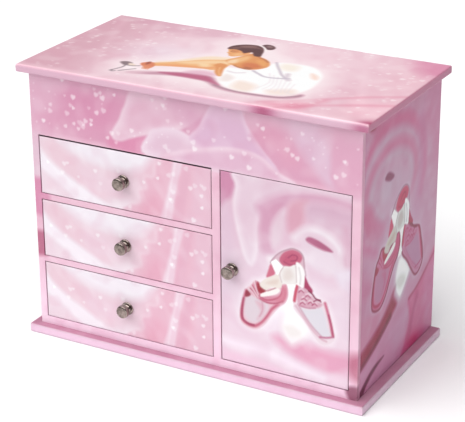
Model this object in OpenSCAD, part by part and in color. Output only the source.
// Musical jewellery box: a wooden cabinet with three drawers, a side door, a lidded top tray,
// a clockwork comb movement and a dancer who folds under the lid and turns when it is open.
// Millimetres. X runs along the front, +Y points to the back, +Z is up.
// The origin is the middle of the underside, below the middle of the cabinet.

/* [Cabinet] */
// Width of the cabinet, without the overhangs
body_w = 240; // [220:1:300]
// Depth of the cabinet, front face to back face
body_d = 121; // [104:1:160]
// Height of the cabinet, from the base board to the lid
body_h = 182; // [170:1:240]
// Thickness of the front frame
front_t = 4; // [4:0.5:6]
// Thickness of the side panels
side_t = 4.5; // [3:0.5:6]
// Thickness of the back panel
back_t = 4; // [3:0.5:6]
// Width of the front frame's left stile
stile_left = 4.9; // [4.8:0.1:12]
// Width of the front frame's right stile
stile_right = 5.9; // [4.8:0.1:12]
// Width of the front frame's middle stile
stile_mid = 5.6; // [5:0.1:12]
// Height of the rails between the drawers
rail_h = 4; // [3:0.5:8]
// Height of the bottom rail and of the inner floor behind it
bottom_rail = 5.6; // [4:0.1:10]
// Height of the front frame above its openings
fascia_h = 43.1; // [42:0.1:60]
// Thickness of the top tray's floor
tray_floor_t = 3.6; // [3:0.1:5]

/* [Base and lid] */
// Thickness of the base board
base_t = 6.4; // [4:0.1:12]
// How far the base board sticks out at the sides
base_side = 6.3; // [3:0.1:12]
// How far the base board sticks out at the front
base_front = 5.4; // [3:0.1:12]
// Thickness of the lid board
lid_t = 5.6; // [4:0.1:12]
// How far the lid sticks out at the sides
lid_side = 5.9; // [3:0.1:12]
// How far the lid sticks out at the front
lid_front = 5.9; // [3:0.1:12]
// How far the lid sticks out at the back
lid_back = 1.2; // [0.8:0.1:1.6]
// Gap between the closed lid and the cabinet
lid_gap = 0.2; // [0.1:0.1:0.6]
// Thickness of the padded board inside the lid
lining_t = 3; // [2:0.5:4]
// Width of the mirror
mirror_w = 160; // [100:1:180]
// Height of the mirror
mirror_h = 82; // [50:1:84]
// Thickness of the mirror
mirror_t = 2; // [1.5:0.1:2]

/* [Drawers and door] */
// Width of the drawer openings
drawer_open_w = 131.6; // [100:0.1:140]
// Gap beside a drawer front or the door
front_gap = 0.6; // [0.4:0.1:1]
// Gap above the two lower drawer fronts
top_gap = 0.7; // [0.6:0.1:2]
// Gap above the top drawer's front
top_drawer_gap = 1.2; // [0.6:0.1:2]
// Gap under a drawer front
sill_gap = 0.4; // [0.3:0.1:0.8]
// Thickness of a drawer front
drawer_front_t = 4.5; // [4:0.1:6]
// Thickness of the drawer walls
drawer_wall = 3; // [2:0.5:4]
// Thickness of the drawer bottoms
drawer_floor = 2; // [1.5:0.5:3]
// Free space behind a closed drawer
drawer_back_gap = 4; // [2:0.5:20]
// Thickness of the door
door_t = 5; // [5:0.1:6]
// Radius of the door's pivot pins
pivot_r = 1; // [0.8:0.1:1.2]
// How far a pivot pin reaches into the door
pivot_in_door = 9; // [6:0.5:14]
// How far a pivot pin reaches into the frame
pivot_in_frame = 3.4; // [2:0.1:3.6]

/* [Knobs] */
// Radius of a knob's head
knob_head_r = 4.4; // [3.5:0.1:7]
// Radius of a knob's foot
knob_foot_r = 4.5; // [3.5:0.1:7]
// How far a knob stands out
knob_h = 8; // [7:0.5:16]
// Radius of a knob's screw
screw_r = 1.4; // [1:0.1:2]

/* [Top tray] */
// Half the width of the tray's middle bay
bay_half = 46; // [45:0.5:60]
// Thickness of the tray's partitions
partition_t = 2.5; // [2:0.5:4]
// Height of the tray's partitions
partition_h = 25; // [16:0.5:30]
// Number of rolls on the ring pad
ring_rolls = 5; // [3:1:6]
// Radius of a roll on the ring pad
ring_roll_r = 5.4; // [4:0.1:6]
// Width of the cover over the movement
cover_w = 88; // [88:0.5:90]
// Height of the cover over the movement
cover_h = 23; // [23:0.5:26]
// Wall of the cover over the movement
cover_t = 1.6; // [1.2:0.1:2]

/* [Movement] */
// Radius of the pinned cylinder
cylinder_r = 5.3; // [4.5:0.1:5.4]
// Length of the pinned cylinder
cylinder_len = 22; // [16:0.5:23]
// Number of notes, one tooth of the comb each
notes = 18; // [12:1:24]
// How far the key's wings reach from its axis
key_reach = 10; // [8:0.5:14]

/* [Dancer] */
// Angle by which the dancer folds down, from upright
fold = 110; // [100:1:115]
// Height of the dancer above the bend in her spring
dancer_h = 47; // [36:0.5:58]
// Radius of the dancer's tutu
tutu_r = 12.5; // [8:0.5:13]

/* [Necklace carousel] */
// Radius of the carousel's disc
carousel_r = 24; // [16:0.5:28]
// Thickness of the carousel's disc
carousel_t = 5; // [4:0.5:8]
// Number of hooks on the carousel
hooks = 8; // [4:1:10]

/* [Hidden] */
$fn = 64;

// heights of the cabinet's levels
base_top = base_t;
open_low = base_top + bottom_rail;
open_high = base_top + body_h - fascia_h;
body_top = base_top + body_h;
tray_low = open_high;
tray_top = tray_low + tray_floor_t;
lid_low = body_top + lid_gap;
lining_low = lid_low - lining_t;

// faces of the cabinet
front_y = -body_d / 2;
back_y = body_d / 2;
inner_front = front_y + front_t;
inner_back = back_y - back_t;
inner_x = body_w / 2 - side_t;

// openings of the front frame
drawer_x0 = -body_w / 2 + stile_left;
drawer_x1 = drawer_x0 + drawer_open_w;
door_x0 = drawer_x1 + stile_mid;
door_x1 = body_w / 2 - stile_right;
divider_x0 = drawer_x1 + 0.3;
divider_x1 = door_x0 - 0.3;
drawer_open_h = (open_high - open_low - 2 * rail_h) / 3;
function drawer_z(i) = open_low + i * (drawer_open_h + rail_h);
drawer_mid_x = (drawer_x0 + drawer_x1) / 2;
function drawer_front_h(i) = drawer_open_h - sill_gap - (i == 2 ? top_drawer_gap : top_gap);
drawer_side_gap = 1;
drawer_left = max(drawer_x0, -inner_x) + drawer_side_gap;
drawer_right = min(drawer_x1, divider_x0) - drawer_side_gap;
drawer_wall_drop = 6;
drawer_depth = inner_back - drawer_back_gap - (front_y + drawer_front_t);

// door
door_left = door_x0 + front_gap;
door_right = door_x1 - front_gap;
door_low = open_low + front_gap;
door_high = open_high - front_gap;
pivot_x = door_right - door_t / 2;
pivot_y = front_y + door_t / 2;
pivot_slack = 0.06;
door_knob_x = door_left + 8.2;
door_knob_z = (door_low + door_high) / 2;
catch_z = door_knob_z + 32;
catch_w = 8;
catch_h = 18;
strike_t = 0.8;

// knob and its screw
knob_foot_h = 1.4;
knob_neck_r = 2.5;
knob_head_h = 3.6;
knob_edge = 0.7;
screw_bite = 5;
screw_head_r = 3;
screw_head_h = 1.6;

// lid hinges
hinge_w = 24;
hinge_x = body_w / 2 - 45;
leaf_t = 0.7;
leaf_depth = 10.5;
knuckle_r = 1.6;
knuckle_gap = 0.12;
hinge_pin_r = 0.7;
hinge_slack = 0.05;
hinge_y = back_y + knuckle_r + 0.2;
hinge_z = body_top + lid_gap / 2;
batten_w = 8;
batten_h = 8;
leaf_y0 = hinge_y - leaf_depth - 1.6;
hinge_screw_x = 7.5;
hinge_screw_y = leaf_y0 + 3.2;
hinge_screw_r = 0.8;
hinge_screw_head = 1.5;
hinge_screw_len = 4.4;

// lid
lid_y0 = front_y - lid_front;
lid_y1 = back_y + lid_back;
lining_edge = 1.4;
lining_y0 = inner_front + lining_edge;
lining_y1 = inner_back - batten_w - lining_edge;
mirror_slack = 0.15;
mirror_y = lining_y1 - 6 - mirror_h / 2;

// gear train: the joints' ratios depend on these teeth
gear_m = 0.5;
great_teeth = 36;
cylinder_teeth = 24;
governor_teeth = 10;
worm_wheel_teeth = 20;
crown_teeth = 30;
spindle_teeth = 12;

// movement, placed from the cabinet's back
bed_t = 1.5;
bed_top = tray_top + bed_t;
great_r = gear_m * great_teeth / 2;
wheel_r = gear_m * cylinder_teeth / 2;
governor_r = gear_m * governor_teeth / 2;
crown_r = gear_m * crown_teeth / 2;
spindle_r = gear_m * spindle_teeth / 2;
worm_wheel_m = 0.4;
worm_wheel_r = worm_wheel_m * worm_wheel_teeth / 2;
addendum = 0.8;
dedendum = 1.15;
backlash = 0.16;
train_z = bed_top + great_r + addendum * gear_m + 0.4;
wheel_y = inner_back - 30.5;
wheel_t = 2.5;
crown_face = wheel_y - 4.4;
crown_y = crown_face - 0.7;
crown_disc_t = 1.2;
crown_half = 0.55;
crown_tooth = 0.5;
spindle_y = crown_y - spindle_r;
spindle_shaft_r = 1;
front_bridge_y = spindle_y + spindle_shaft_r + 0.2;
front_bridge_t = 1.1;
drum_r = 8.3;
drum_wall = 0.7;
drum_y0 = wheel_y + wheel_t;
drum_len = 15;
drum_cap = 0.8;
arbor_r = 1.5;
running = 0.05;
bridge_y = drum_y0 + drum_len + 1.5;
bridge_t = 2;
cylinder_x = great_r + wheel_r;
cylinder_y0 = wheel_y + wheel_t + 1.5;
pin_r = 0.2;
pin_out = 0.4;
pin_rows = 3;
cylinder_arbor_r = 0.75;
governor_angle = 20;
governor_x = cylinder_x + (wheel_r + governor_r) * cos(governor_angle);
governor_z = train_z - (wheel_r + governor_r) * sin(governor_angle);
governor_arbor_r = 0.6;
worm_wheel_y = wheel_y - 4;
worm_wheel_t = 2;
worm_r = 1.1;
worm_gap = 0.3;
fly_x = governor_x + worm_wheel_r + addendum * worm_wheel_m + worm_r + worm_gap;
fly_low = train_z + 1.7;
fly_h = 4;
fly_top = fly_low + fly_h + 0.7;
fly_reach = 5;
comb_t = 1;
comb_tip_x = cylinder_x + cylinder_r + pin_out + 0.15;
comb_root_x = comb_tip_x + 10;
comb_back_x = comb_tip_x + 15;
comb_slot = 0.25;
comb_z = train_z - comb_t / 2;
comb_len = cylinder_len - 1;
comb_y0 = cylinder_y0 + 0.5;
comb_screw_x = comb_root_x + 2.6;
comb_screw_r = 1;
lever_x = comb_back_x + 2.1;
lever_y = lining_y1 - 3;
lever_r = 0.8;
lever_arm_z = fly_top + 0.1;
cover_top = tray_top + cover_h;
cover_y0 = spindle_y - 6;
cover_y1 = inner_back - 0.2;
bed_x0 = -12;
bed_x1 = lever_x + 3;
bed_y0 = cover_y0 + cover_t + 0.6;
bed_y1 = cover_y1 - cover_t - 0.2;

// dancer and her spring
cap_h = 1.4;
stem_r = 1.3;
stem_bend = 2.5;
bend_z = cover_top + cap_h + stem_bend * tan(fold / 2) + 0.05;
dancer_foot = stem_bend * tan(fold / 2);

// necklace carousel
carousel_x = (divider_x1 + inner_x) / 2;
washer_t = 3;
carousel_low = tray_low - washer_t - carousel_t;
hook_r = 0.7;
hook_drop = 8;
hook_bend = 2.6;
hook_ring = carousel_r - 4;
carousel_screw_r = 1.8;

// a box between two corners
module slab(x0, x1, y0, y1, z0, z1) {
    translate([x0, y0, z0]) cube([x1 - x0, y1 - y0, z1 - z0]);
}

// children drawn along Z stand along +Y instead, from the given point
module along_y(x, y, z) {
    translate([x, y, z]) rotate([-90, 0, 0]) children();
}

// ---- gears ----

function involute(angle) = tan(angle) * 180 / PI - angle;

// half the angle that a tooth takes up at a radius
function tooth_half(teeth, module_mm, radius, slack) =
    let (pitch = teeth * module_mm / 2,
         base = pitch * cos(20),
         at = max(radius, base + 0.001),
         half = 90 / teeth - slack / 2 / pitch * 180 / PI / 2)
    half + involute(20) - involute(acos(base / at));

// the outline of one tooth, turned to an angle
function tooth_points(teeth, module_mm, turn, slack) =
    let (pitch = teeth * module_mm / 2,
         radii = [pitch - dedendum * module_mm, pitch - 0.5 * module_mm, pitch,
             pitch + addendum / 2 * module_mm, pitch + addendum * module_mm])
    concat(
        [for (r = radii) let (a = turn - tooth_half(teeth, module_mm, r, slack)) [r * cos(a), r * sin(a)]],
        [for (i = [len(radii) - 1:-1:0]) let (r = radii[i], a = turn + tooth_half(teeth, module_mm, r, slack))
            [r * cos(a), r * sin(a)]]);

module spur_gear(teeth, module_mm, turn, height, slack = backlash) {
    linear_extrude(height)
        polygon([for (i = [0:teeth - 1]) each tooth_points(teeth, module_mm, turn + i * 360 / teeth, slack)]);
}

// ---- cabinet ----

module base_board() {
    color("pink")
        slab(-body_w / 2 - base_side, body_w / 2 + base_side, front_y - base_front, back_y, 0, base_top);
}

module inner_floor() {
    color("mistyrose") slab(-inner_x, inner_x, inner_front, inner_back, base_top, open_low);
}

module side_panel(x0) {
    slab(x0, x0 + side_t, inner_front, back_y, base_top, body_top);
}

module left_side() {
    color("pink") side_panel(-body_w / 2);
}

module right_side() {
    color("pink") side_panel(inner_x);
}

module back_panel() {
    color("pink") difference() {
        slab(-inner_x, inner_x, inner_back, back_y, base_top, body_top);
        hinge_mortises(body_top - leaf_t, body_top + 1);
        along_y(0, inner_back - 1, train_z) cylinder(h = back_t + 2, r = arbor_r + 1.2);
    }
}

// a drilled pivot hole for the door, above or below its opening
module pivot_hole(z0, z1) {
    translate([pivot_x, pivot_y, z0]) cylinder(h = z1 - z0, r = pivot_r + pivot_slack, $fn = 32);
}

module front_frame() {
    color("pink") difference() {
        slab(-body_w / 2, body_w / 2, front_y, inner_front, base_top, body_top);
        for (i = [0:2])
            slab(drawer_x0, drawer_x1, front_y - 1, inner_front + 1, drawer_z(i),
                drawer_z(i) + drawer_open_h);
        slab(door_x0, door_x1, front_y - 1, inner_front + 1, open_low, open_high);
        pivot_hole(open_low - pivot_in_frame - 0.2, open_low + 1);
        pivot_hole(open_high - 1, open_high + pivot_in_frame + 0.2);
    }
}

module divider() {
    color("mistyrose") slab(divider_x0, divider_x1, inner_front, inner_back, open_low, tray_low);
}

module drawer_shelves() {
    color("mistyrose") for (i = [1:2])
        slab(-inner_x, divider_x0, inner_front, inner_back, drawer_z(i) - rail_h, drawer_z(i));
}

module tray_floor() {
    color("mistyrose") difference() {
        slab(-inner_x, inner_x, inner_front, inner_back, tray_low, tray_top);
        translate([carousel_x, 0, tray_low - 1]) cylinder(h = tray_floor_t + 2, r = carousel_screw_r);
    }
}

// the shallow seats of the hinge leaves, and the room for their knuckles
module hinge_mortises(z0, z1) {
    for (side = [-1, 1])
        slab(side * hinge_x - hinge_w / 2 - 0.2, side * hinge_x + hinge_w / 2 + 0.2, leaf_y0 - 0.2,
            hinge_y, z0, z1);
}

module hinge_screw_places() {
    for (side = [-1, 1], across = [-1, 1])
        translate([side * hinge_x + across * hinge_screw_x, hinge_screw_y, 0]) children();
}

module hinge_batten() {
    color("burlywood") difference() {
        slab(-inner_x, inner_x, inner_back - batten_w, inner_back, body_top - batten_h, body_top);
        hinge_mortises(body_top - leaf_t, body_top + 1);
        hinge_screw_places() translate([0, 0, body_top - leaf_t - hinge_screw_len])
            cylinder(h = hinge_screw_len + 1, r = hinge_screw_r, $fn = 24);
    }
}

module tray_partitions() {
    top = tray_top + partition_h;
    color("lightpink") {
        slab(-bay_half - partition_t, -bay_half, inner_front, inner_back, tray_top, top);
        slab(bay_half, bay_half + partition_t, inner_front, inner_back, tray_top, top);
        slab(-inner_x, -bay_half - partition_t, 1, 1 + partition_t, tray_top, top);
        slab(bay_half + partition_t, inner_x, -partition_t / 2, partition_t / 2, tray_top, top);
    }
}

module ring_pad() {
    x0 = -inner_x + 0.4;
    x1 = -bay_half - partition_t - 0.4;
    y0 = inner_front + 0.4;
    y1 = 0.6;
    pitch = (y1 - y0) / ring_rolls;
    radius = min(ring_roll_r, pitch / 2);
    color("deeppink") {
        slab(x0, x1, y0, y1, tray_top, tray_top + radius);
        for (i = [0:ring_rolls - 1])
            translate([x0, y0 + pitch * (i + 0.5), tray_top + radius]) rotate([0, 90, 0])
                cylinder(h = x1 - x0, r = radius - 0.05, $fn = 32);
    }
}

module stage_cover() {
    color("lightpink") difference() {
        slab(-cover_w / 2, cover_w / 2, cover_y0, cover_y1, tray_top, cover_top);
        slab(-cover_w / 2 + cover_t, cover_w / 2 - cover_t, cover_y0 + cover_t, cover_y1 - cover_t,
            tray_top - 1, cover_top - cover_t);
        translate([0, spindle_y, cover_top - cover_t - 1])
            cylinder(h = cover_t + 2, r = spindle_shaft_r + running, $fn = 32);
        translate([lever_x, lever_y, cover_top - cover_t - 1])
            cylinder(h = cover_t + 2, r = lever_r + 0.2, $fn = 32);
        along_y(0, cover_y1 - cover_t - 1, train_z) cylinder(h = cover_t + 2, r = arbor_r + 0.6, $fn = 32);
    }
}

// ---- lid hinges ----

// the middle third of the knuckles belongs to the lid, the outer two to the cabinet
module knuckle(x, width) {
    translate([x - width / 2, hinge_y, hinge_z]) rotate([0, 90, 0]) difference() {
        cylinder(h = width, r = knuckle_r, $fn = 32);
        translate([0, 0, -1]) cylinder(h = width + 2, r = hinge_pin_r + hinge_slack, $fn = 24);
    }
}

third = hinge_w / 3;

module countersunk(z, head_up) {
    translate([0, 0, z]) mirror([0, 0, head_up ? 0 : 1])
        translate([0, 0, -leaf_t]) cylinder(h = leaf_t, r1 = hinge_screw_r, r2 = hinge_screw_head, $fn = 24);
}

module hinge_leaf(x, z0, lid_side_leaf) {
    z1 = z0 + leaf_t;
    seat = hinge_y - knuckle_r - 0.15;
    difference() {
        union() {
            slab(x - hinge_w / 2, x + hinge_w / 2, leaf_y0, seat, z0, z1);
            if (lid_side_leaf)
                slab(x - third / 2 + knuckle_gap, x + third / 2 - knuckle_gap, seat, hinge_y, z0, z1);
            else for (s = [-1, 1])
                slab(x + s * third - third / 2, x + s * third + third / 2, seat, hinge_y, z0, z1);
            if (lid_side_leaf) knuckle(x, third - 2 * knuckle_gap);
            else for (s = [-1, 1]) knuckle(x + s * third, third);
        }
        translate([x - hinge_w, hinge_y, hinge_z]) rotate([0, 90, 0])
            cylinder(h = 2 * hinge_w, r = hinge_pin_r + hinge_slack, $fn = 24);
        hinge_screw_places() countersunk(lid_side_leaf ? z0 : z1, !lid_side_leaf);
    }
}

module body_hinge_leaves() {
    color("gold") for (side = [-1, 1]) hinge_leaf(side * hinge_x, body_top - leaf_t, false);
}

module lid_hinge_leaves() {
    color("gold") for (side = [-1, 1]) hinge_leaf(side * hinge_x, lid_low, true);
}

module hinge_pins() {
    color("goldenrod") for (side = [-1, 1])
        translate([side * hinge_x - hinge_w / 2, hinge_y, hinge_z]) rotate([0, 90, 0])
            cylinder(h = hinge_w, r = hinge_pin_r, $fn = 24);
}

// countersunk screws whose heads fill the leaves
module hinge_screws(face_z, head_up) {
    dir = head_up ? 1 : -1;
    hinge_screw_places() {
        countersunk(face_z, head_up);
        translate([0, 0, face_z - dir * leaf_t]) mirror([0, 0, head_up ? 1 : 0])
            cylinder(h = hinge_screw_len, r = hinge_screw_r, $fn = 24);
    }
}

module body_hinge_screws() {
    color("goldenrod") hinge_screws(body_top, true);
}

module lid_hinge_screws() {
    color("goldenrod") hinge_screws(lid_low, false);
}

// ---- lid ----

module lid_board() {
    color("pink") difference() {
        slab(-body_w / 2 - lid_side, body_w / 2 + lid_side, lid_y0, lid_y1, lid_low, lid_low + lid_t);
        hinge_mortises(lid_low - 1, lid_low + leaf_t);
        for (side = [-1, 1])
            slab(side * hinge_x - hinge_w / 2 - 0.3, side * hinge_x + hinge_w / 2 + 0.3, back_y - 0.1,
                lid_y1 + 1, lid_low - 1, lid_low + lid_t + 1);
        hinge_screw_places() translate([0, 0, lid_low])
            cylinder(h = leaf_t + hinge_screw_len, r = hinge_screw_r, $fn = 24);
    }
}

module lid_lining() {
    x = inner_x - lining_edge;
    color("lightpink") difference() {
        slab(-x, x, lining_y0, lining_y1, lining_low, lid_low);
        slab(-mirror_w / 2 - mirror_slack, mirror_w / 2 + mirror_slack,
            mirror_y - mirror_h / 2 - mirror_slack, mirror_y + mirror_h / 2 + mirror_slack, lining_low - 1, lid_low + 1);
    }
}

module lid_mirror() {
    color("aliceblue")
        slab(-mirror_w / 2, mirror_w / 2, mirror_y - mirror_h / 2, mirror_y + mirror_h / 2,
            lid_low - mirror_t, lid_low);
}

// ---- knobs ----

// a turned knob on a foot, with a blind hole for its screw, standing out along -Y
module knob(x, z) {
    head = knob_h - knob_head_h;
    r = knob_head_r;
    translate([x, front_y, z]) rotate([90, 0, 0]) difference() {
        rotate_extrude() polygon([[0, 0], [knob_foot_r, 0], [knob_foot_r, knob_foot_h - 0.5],
            [knob_foot_r - 0.5, knob_foot_h], [knob_neck_r, knob_foot_h + 0.6], [knob_neck_r, head - 0.6],
            [r - 0.6, head], [r, head + 0.6], [r, knob_h - knob_edge], [r - knob_edge, knob_h], [0, knob_h]]);
        translate([0, 0, -1]) cylinder(h = screw_bite + 1, r = screw_r, $fn = 24);
    }
}

// a pan-head screw from inside a front of the given thickness
module knob_screw(x, z, thickness) {
    inside = front_y + thickness;
    along_y(x, front_y - screw_bite, z) cylinder(h = screw_bite + thickness, r = screw_r, $fn = 24);
    along_y(x, inside, z) difference() {
        cylinder(h = screw_head_h, r = screw_head_r, $fn = 32);
        translate([-screw_head_r, -0.3, screw_head_h - 0.6]) cube([2 * screw_head_r, 0.6, 1]);
    }
}

module screw_hole(x, z, thickness) {
    along_y(x, front_y - 1, z) cylinder(h = thickness + 2, r = screw_r, $fn = 24);
}

// ---- door ----

// a board whose hinge edge is rounded about the pivot
module door_panel() {
    color("pink") difference() {
        union() {
            slab(door_left, pivot_x, front_y, front_y + door_t, door_low, door_high);
            translate([pivot_x, pivot_y, door_low]) cylinder(h = door_high - door_low, r = door_t / 2);
        }
        translate([pivot_x, pivot_y, door_low - 1]) cylinder(h = pivot_in_door + 1, r = pivot_r, $fn = 32);
        translate([pivot_x, pivot_y, door_high - pivot_in_door]) cylinder(h = pivot_in_door + 1, r = pivot_r,
            $fn = 32);
        screw_hole(door_knob_x, door_knob_z, door_t);
        slab(door_left + 2, door_left + 2 + catch_w, front_y + door_t - strike_t, front_y + door_t + 1,
            catch_z - catch_h / 2, catch_z + catch_h / 2);
    }
}

module door_pivot_pins() {
    long = pivot_in_door + front_gap + pivot_in_frame;
    color("goldenrod") {
        translate([pivot_x, pivot_y, open_low - pivot_in_frame]) cylinder(h = long, r = pivot_r, $fn = 32);
        translate([pivot_x, pivot_y, door_high - pivot_in_door]) cylinder(h = long, r = pivot_r, $fn = 32);
    }
}

module door_strike_plate() {
    color("silver")
        slab(door_left + 2, door_left + 2 + catch_w, front_y + door_t - strike_t, front_y + door_t,
            catch_z - catch_h / 2, catch_z + catch_h / 2);
}

module magnet_catch() {
    y0 = front_y + door_t + 0.3;
    color("saddlebrown")
        slab(divider_x1, door_left + 2 + catch_w, y0, y0 + 9, catch_z - catch_h / 2, catch_z + catch_h / 2);
}

module door_knob() {
    color("dimgray") knob(door_knob_x, door_knob_z);
}

module door_knob_screw() {
    color("silver") knob_screw(door_knob_x, door_knob_z, door_t);
}

// ---- drawers, numbered from the bottom ----

function knob_z(i) = drawer_z(i) + sill_gap + drawer_front_h(i) / 2;

module drawer_front(i) {
    z0 = drawer_z(i) + sill_gap;
    color("pink") difference() {
        slab(drawer_x0 + front_gap, drawer_x1 - front_gap, front_y, front_y + drawer_front_t, z0,
            z0 + drawer_front_h(i));
        screw_hole(drawer_mid_x, knob_z(i), drawer_front_t);
    }
}

module drawer_walls(i) {
    x0 = drawer_left;
    x1 = drawer_right;
    y0 = front_y + drawer_front_t;
    z0 = drawer_z(i) + running;
    z1 = drawer_z(i) + drawer_open_h - drawer_wall_drop - 1;
    color("mistyrose") {
        slab(x0, x0 + drawer_wall, y0, y0 + drawer_depth, z0, z1);
        slab(x1 - drawer_wall, x1, y0, y0 + drawer_depth, z0, z1);
        slab(x0 + drawer_wall, x1 - drawer_wall, y0 + drawer_depth - drawer_wall, y0 + drawer_depth, z0, z1);
    }
}

module drawer_bottom(i) {
    z0 = drawer_z(i) + sill_gap;
    y0 = front_y + drawer_front_t;
    color("hotpink")
        slab(drawer_left + drawer_wall, drawer_right - drawer_wall, y0,
            y0 + drawer_depth - drawer_wall, z0, z0 + drawer_floor);
}

module drawer_knob(i) {
    color("dimgray") knob(drawer_mid_x, knob_z(i));
}

module drawer_screw(i) {
    color("silver") knob_screw(drawer_mid_x, knob_z(i), drawer_front_t);
}

// ---- necklace carousel, hung from the tray floor inside the door ----

module carousel_disc() {
    color("hotpink") translate([carousel_x, 0, carousel_low]) difference() {
        cylinder(h = carousel_t, r = carousel_r, $fn = 96);
        translate([0, 0, -1]) cylinder(h = carousel_t + 2, r = carousel_screw_r + running);
        for (i = [0:hooks - 1]) rotate([0, 0, i * 360 / hooks]) translate([hook_ring, 0, -1])
            cylinder(h = 1 + carousel_t / 2, r = hook_r, $fn = 24);
    }
}

// one hook: a shank and a three-quarter turn that opens outwards
module hook() {
    translate([0, 0, -hook_drop]) cylinder(h = hook_drop + carousel_t / 2, r = hook_r, $fn = 24);
    translate([hook_bend, 0, -hook_drop]) rotate([90, 0, 0]) rotate([0, 0, 180])
        rotate_extrude(angle = 200) translate([hook_bend, 0]) circle(r = hook_r, $fn = 24);
}

module carousel_hooks() {
    color("gold") translate([carousel_x, 0, carousel_low]) for (i = [0:hooks - 1])
        rotate([0, 0, i * 360 / hooks]) translate([hook_ring, 0, 0]) hook();
}

// a shouldered screw that carries the disc on its head
module carousel_screw() {
    color("gold") translate([carousel_x, 0, 0]) {
        translate([0, 0, carousel_low - 0.1])
            cylinder(h = tray_top - carousel_low + 0.1, r = carousel_screw_r);
        translate([0, 0, carousel_low - 2.1]) cylinder(h = 2, r = 4);
        difference() {
            translate([0, 0, tray_low - washer_t + 0.1]) cylinder(h = washer_t - 0.1, r = 4);
            translate([0, 0, tray_low - washer_t]) cylinder(h = washer_t, r = carousel_screw_r);
        }
    }
}

// ---- movement ----

// a bearing post on the bedplate, drilled along Y
module post(x, y, z, half, thickness, bore) {
    difference() {
        union() {
            slab(x - half, x + half, y, y + thickness, bed_top, z);
            along_y(x, y, z) cylinder(h = thickness, r = half, $fn = 32);
        }
        along_y(x, y - 1, z) cylinder(h = thickness + 2, r = bore, $fn = 32);
    }
}

module bedplate() {
    fly_arm_z = fly_low - 1.5;
    color("gainsboro") {
        difference() {
            union() {
                slab(bed_x0, bed_x1, bed_y0, bed_y1, tray_top, bed_top);
                translate([lever_x, lever_y, bed_top]) cylinder(h = 5, r = 2.2, $fn = 32);
            }
            translate([0, spindle_y, tray_top + 0.4])
                cylinder(h = bed_t, r = spindle_shaft_r + running, $fn = 32);
            translate([lever_x, lever_y, tray_top + 0.4]) cylinder(h = 20, r = lever_r + running, $fn = 32);
            translate([fly_x, worm_wheel_y, tray_top + 0.4]) cylinder(h = bed_t, r = 0.5 + running, $fn = 24);
        }
        post(0, bridge_y, train_z, 4, bridge_t, arbor_r + running);
        post(0, front_bridge_y, train_z, 3, front_bridge_t, arbor_r + running);
        post(cylinder_x, wheel_y - 2.8, train_z, 2, 1.4, cylinder_arbor_r + running);
        post(cylinder_x, cylinder_y0 + cylinder_len + 0.8, train_z, 2, 1.4, cylinder_arbor_r + running);
        post(governor_x, worm_wheel_y - worm_wheel_t / 2 - 2.4, governor_z, 1.4, 1.2,
            governor_arbor_r + running);
        post(governor_x, wheel_y + wheel_t + 0.9, governor_z, 1.4, 1.2, governor_arbor_r + running);
        difference() {
            union() {
                slab(fly_x + 3, fly_x + 5, worm_wheel_y - 2, worm_wheel_y + 2, bed_top, fly_arm_z + 1.2);
                slab(fly_x - 1.4, fly_x + 3, worm_wheel_y - 2, worm_wheel_y + 2, fly_arm_z, fly_arm_z + 1.2);
            }
            translate([fly_x, worm_wheel_y, fly_arm_z - 1]) cylinder(h = 4, r = 0.5 + running, $fn = 24);
        }
        difference() {
            slab(comb_root_x, comb_back_x, comb_y0, comb_y0 + comb_len, bed_top, comb_z);
            comb_screw_places() translate([0, 0, comb_z - 6]) cylinder(h = 7, r = comb_screw_r, $fn = 24);
        }
    }
}

module comb_screw_places() {
    for (share = [0.22, 0.78]) translate([comb_screw_x, comb_y0 + share * comb_len, 0]) children();
}

// a steel comb, whose teeth are cut apart by narrow slots that get longer towards the bass
module comb() {
    pitch = comb_len / notes;
    color("silver") difference() {
        slab(comb_tip_x, comb_back_x, comb_y0, comb_y0 + comb_len, comb_z, comb_z + comb_t);
        for (i = [1:notes - 1])
            slab(comb_tip_x - 1, comb_root_x - 3 + 2 * i / notes, comb_y0 + i * pitch - comb_slot / 2,
                comb_y0 + i * pitch + comb_slot / 2, comb_z - 1, comb_z + comb_t + 1);
        comb_screw_places() translate([0, 0, comb_z - 1]) cylinder(h = 4, r = comb_screw_r, $fn = 24);
    }
}

module comb_screws() {
    color("goldenrod") comb_screw_places() {
        translate([0, 0, comb_z - 6]) cylinder(h = 6 + comb_t, r = comb_screw_r, $fn = 24);
        translate([0, 0, comb_z + comb_t]) difference() {
            cylinder(h = 1.2, r = 2, $fn = 32);
            translate([-2, -0.25, 0.7]) cube([4, 0.5, 1]);
        }
    }
}

// spring barrel: drum, great wheel and the crown wheel that turns the dancer's pinion
module barrel() {
    inner = drum_r - drum_wall;
    color("gold") along_y(0, 0, train_z) difference() {
        union() {
            translate([0, 0, drum_y0]) cylinder(h = drum_len, r = drum_r);
            translate([0, 0, wheel_y]) spur_gear(great_teeth, gear_m, 0, wheel_t);
            translate([0, 0, crown_face]) cylinder(h = wheel_y - crown_face, r = 2.8);
            translate([0, 0, crown_face]) cylinder(h = crown_disc_t, r = crown_r + crown_half);
            translate([0, 0, crown_y - addendum * gear_m])
                linear_extrude(crown_face - crown_y + addendum * gear_m) crown_outline();
        }
        translate([0, 0, drum_y0 + drum_cap]) cylinder(h = drum_len - 2 * drum_cap, r = inner);
        translate([0, 0, 0]) cylinder(h = 70, r = arbor_r + running);
    }
}

// the crown wheel's teeth from in front: short ribs round a ring, with a gap at the top
module crown_outline() {
    for (i = [0:crown_teeth - 1]) rotate([0, 0, -90 + (i + 0.5) * 360 / crown_teeth])
        translate([crown_r - crown_half, -crown_tooth / 2]) square([2 * crown_half, crown_tooth]);
}

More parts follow.
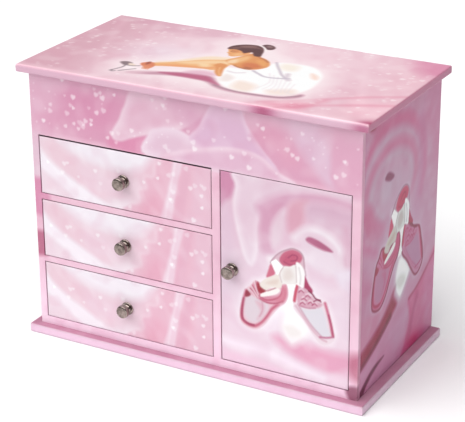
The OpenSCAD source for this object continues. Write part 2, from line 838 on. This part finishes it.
// mainspring: a strip wound in a spiral between the arbor and the drum
module mainspring() {
    turns = 5;
    steps = 20 * turns;
    strip = 0.35;
    r0 = arbor_r + 0.5;
    r1 = drum_r - drum_wall - 0.3;
    color("steelblue") along_y(0, drum_y0 + drum_cap + 0.6, train_z)
        linear_extrude(drum_len - 2 * drum_cap - 1.2)
            polygon(concat(
                [for (i = [0:steps]) let (r = r0 + (r1 - r0 - strip) * i / steps, a = i * 18)
                    [r * cos(a), r * sin(a)]],
                [for (i = [steps:-1:0]) let (r = r0 + strip + (r1 - r0 - strip) * i / steps, a = i * 18)
                    [r * cos(a), r * sin(a)]]));
}

key_low = back_y + 1;
key_hub_h = 8;

module winding_arbor() {
    color("silver") along_y(0, front_bridge_y, train_z)
        cylinder(h = key_low + key_hub_h - 1 - front_bridge_y, r = arbor_r);
}

// a two-winged key on the arbor, behind the back panel
module winding_key() {
    wing = 2.2;
    color("gold") along_y(0, key_low, train_z) difference() {
        union() {
            cylinder(h = key_hub_h, r = 2.8, $fn = 48);
            for (side = [-1, 1]) translate([side * (key_reach - 4.5), wing / 2, key_hub_h]) rotate([90, 0, 0])
                cylinder(h = wing, r = 4.5, $fn = 48);
            slab(-key_reach + 4.5, key_reach - 4.5, -wing / 2, wing / 2, key_hub_h - 4, key_hub_h + 1);
        }
        translate([0, 0, -1]) cylinder(h = key_hub_h, r = arbor_r, $fn = 48);
        for (side = [-1, 1]) translate([side * (key_reach - 4.5), wing, key_hub_h]) rotate([90, 0, 0])
            cylinder(h = 2 * wing, r = 1.9, $fn = 32);
    }
}

// the pinned cylinder on its arbor, with the wheel that the barrel drives
module cylinder_drum() {
    along_y(cylinder_x, 0, train_z) {
        translate([0, 0, cylinder_y0]) cylinder(h = cylinder_len, r = cylinder_r);
        translate([0, 0, wheel_y]) spur_gear(cylinder_teeth, gear_m, 180 + 180 / cylinder_teeth, wheel_t);
        translate([0, 0, wheel_y - 3]) cylinder(h = cylinder_y0 + cylinder_len + 2.4 - wheel_y + 3,
            r = cylinder_arbor_r, $fn = 32);
        translate([0, 0, wheel_y + wheel_t - 0.1]) cylinder(h = 2, r = 2, $fn = 32);
    }
}

module cylinder_pins() {
    along_y(cylinder_x, 0, train_z)
        for (i = [0:notes - 1], j = [0:pin_rows - 1])
            rotate([0, 0, i * 137 + j * 120]) translate([0, 0, comb_y0 + comb_len * (i + 0.5) / notes])
                rotate([0, 90, 0]) translate([0, 0, cylinder_r - 0.6])
                    cylinder(h = 0.6 + pin_out, r = pin_r, $fn = 16);
}

module cylinder_unit() {
    color("gold") union() {
        cylinder_drum();
        cylinder_pins();
    }
}

module governor_wheel() {
    y0 = worm_wheel_y - worm_wheel_t / 2 - 2.6;
    color("gold") along_y(governor_x, 0, governor_z) {
        translate([0, 0, y0]) cylinder(h = wheel_y + wheel_t + 2.4 - y0, r = governor_arbor_r, $fn = 32);
        translate([0, 0, wheel_y])
            spur_gear(governor_teeth, gear_m, governor_angle + 180 + governor_phase, wheel_t);
        translate([0, 0, worm_wheel_y - worm_wheel_t / 2])
            spur_gear(worm_wheel_teeth, worm_wheel_m, 0, worm_wheel_t);
    }
}

// turns the pinion so that a gap faces the cylinder wheel's tooth at that angle
cylinder_tooth_turn = 180 + 180 / cylinder_teeth;
governor_phase = 180 / governor_teeth
    + (governor_angle - cylinder_tooth_turn) * cylinder_teeth / governor_teeth;

// worm and air brake on one upright shaft
module governor_fly() {
    color("white") translate([fly_x, worm_wheel_y, 0]) {
        translate([0, 0, tray_top + 0.5]) cylinder(h = fly_top - tray_top - 0.5, r = 0.5, $fn = 24);
        translate([0, 0, governor_z - 3]) cylinder(h = 6, r = worm_r, $fn = 32);
        translate([0, 0, fly_low]) cylinder(h = fly_top - fly_low - 0.2, r = 1.1, $fn = 32);
        slab(-fly_reach, fly_reach, -0.2, 0.2, fly_low + 0.3, fly_low + fly_h);
    }
}

// upright spindle with its pinion, ending in a cap on top of the cover
module spindle() {
    height = 2 * crown_half;
    color("silver") translate([0, spindle_y, 0]) {
        translate([0, 0, tray_top + 0.5])
            cylinder(h = cover_top + 0.3 - tray_top, r = spindle_shaft_r, $fn = 32);
        translate([0, 0, train_z + crown_r - height / 2])
            spur_gear(spindle_teeth, gear_m, 90, height, 2 * backlash);
        translate([0, 0, cover_top + 0.2]) cylinder(h = cap_h - 0.2, r = 2.6, $fn = 32);
    }
}

// bent wire that the lid presses down: its arm brakes the fly
module stop_lever() {
    reach = sqrt(pow(lever_x - fly_x, 2) + pow(lever_y - worm_wheel_y, 2));
    turn = atan2(worm_wheel_y - lever_y, fly_x - lever_x);
    color("silver") {
        translate([lever_x, lever_y, tray_top + 2.5])
            cylinder(h = lining_low - 0.2 - tray_top - 2.5, r = lever_r, $fn = 32);
        translate([lever_x, lever_y, lever_arm_z]) rotate([0, 0, turn])
            translate([0, -lever_r * 0.7, 0]) cube([reach, lever_r * 1.4, 1]);
        translate([fly_x, worm_wheel_y, lever_arm_z]) cylinder(h = 1, r = 1.4, $fn = 32);
    }
}

// ---- dancer, folded forwards at the bend in her spring ----

// the closed outer shape of the coil spring, bent from upright to the fold angle
module dancer_spring() {
    color("silver") translate([0, spindle_y - stem_bend, cover_top + cap_h])
        rotate([90, 0, 90]) rotate_extrude(angle = fold) translate([stem_bend, 0])
            circle(r = stem_r, $fn = 32);
}

// heights along the dancer, from the bend
waist = dancer_h * 0.55;
shoulder = dancer_h * 0.7;
head_z = dancer_h * 0.8 + 1.6;
tutu_bore = 1.5;

// children drawn upright from the bend are folded forwards
module folded_dancer_frame() {
    translate([0, spindle_y, bend_z]) rotate([fold, 0, 0]) children();
}

// an arm: upper arm leaning out, forearm leaning back in
module arm(side) {
    upper = (dancer_h - shoulder) * 0.55;
    lean = 18;
    translate([side * 2.2, 0, shoulder]) rotate([0, side * lean, 0])
        cylinder(h = upper, r = 0.8, $fn = 24);
    translate([side * (2.2 + upper * sin(lean)), 0, shoulder + upper * cos(lean)]) {
        sphere(r = 0.8, $fn = 24);
        rotate([0, -side * 20, 0]) cylinder(h = (dancer_h - shoulder) * 0.45, r1 = 0.8, r2 = 0.6, $fn = 24);
    }
}

// dancer on one foot, arms raised, on the axis of Z from the bend upwards
module dancer() {
    foot = dancer_foot + 0.1;
    color("bisque") folded_dancer_frame() {
        translate([0, 0, foot]) cylinder(h = 2.4, r = 2, $fn = 32);
        translate([0, 0, foot + 2]) cylinder(h = waist - foot - 1, r1 = 0.9, r2 = tutu_bore, $fn = 32);
        translate([0, 0, waist + 0.9]) cylinder(h = shoulder - waist, r1 = tutu_bore, r2 = 2.9, $fn = 32);
        translate([0, 0, shoulder]) cylinder(h = head_z - shoulder, r = 1, $fn = 24);
        translate([0, 0, head_z]) sphere(r = 2.9, $fn = 32);
        for (side = [-1, 1]) arm(side);
    }
}

// a stiff net skirt round the dancer's waist
module dancer_tutu() {
    color("white") folded_dancer_frame() difference() {
        union() {
            translate([0, 0, waist - 3]) cylinder(h = 1.6, r1 = tutu_r, r2 = tutu_r - 0.6);
            translate([0, 0, waist - 1.5]) cylinder(h = 2.3, r1 = 5, r2 = 2.2, $fn = 48);
        }
        translate([0, 0, waist - 4]) cylinder(h = 6, r = tutu_bore + 0.02, $fn = 32);
    }
}

base_board();
inner_floor();
left_side();
right_side();
back_panel();
front_frame();
divider();
drawer_shelves();
tray_floor();
hinge_batten();
tray_partitions();
ring_pad();
stage_cover();
body_hinge_leaves();
hinge_pins();
body_hinge_screws();
magnet_catch();
lid_board();
lid_lining();
lid_mirror();
lid_hinge_leaves();
lid_hinge_screws();
door_panel();
door_pivot_pins();
door_strike_plate();
door_knob();
door_knob_screw();
drawer_front(2);  // drawer_top_front
drawer_walls(2);  // drawer_top_walls
drawer_bottom(2);  // drawer_top_bottom
drawer_knob(2);  // drawer_top_knob
drawer_screw(2);  // drawer_top_screw
drawer_front(1);  // drawer_middle_front
drawer_walls(1);  // drawer_middle_walls
drawer_bottom(1);  // drawer_middle_bottom
drawer_knob(1);  // drawer_middle_knob
drawer_screw(1);  // drawer_middle_screw
drawer_front(0);  // drawer_bottom_front
drawer_walls(0);  // drawer_bottom_walls
drawer_bottom(0);  // drawer_bottom_bottom
drawer_knob(0);  // drawer_bottom_knob
drawer_screw(0);  // drawer_bottom_screw
carousel_disc();
carousel_hooks();
carousel_screw();
bedplate();
comb();
comb_screws();
barrel();
mainspring();
winding_arbor();
winding_key();
cylinder_unit();  // cylinder
governor_wheel();
governor_fly();
spindle();
stop_lever();
dancer_spring();
dancer();
dancer_tutu();
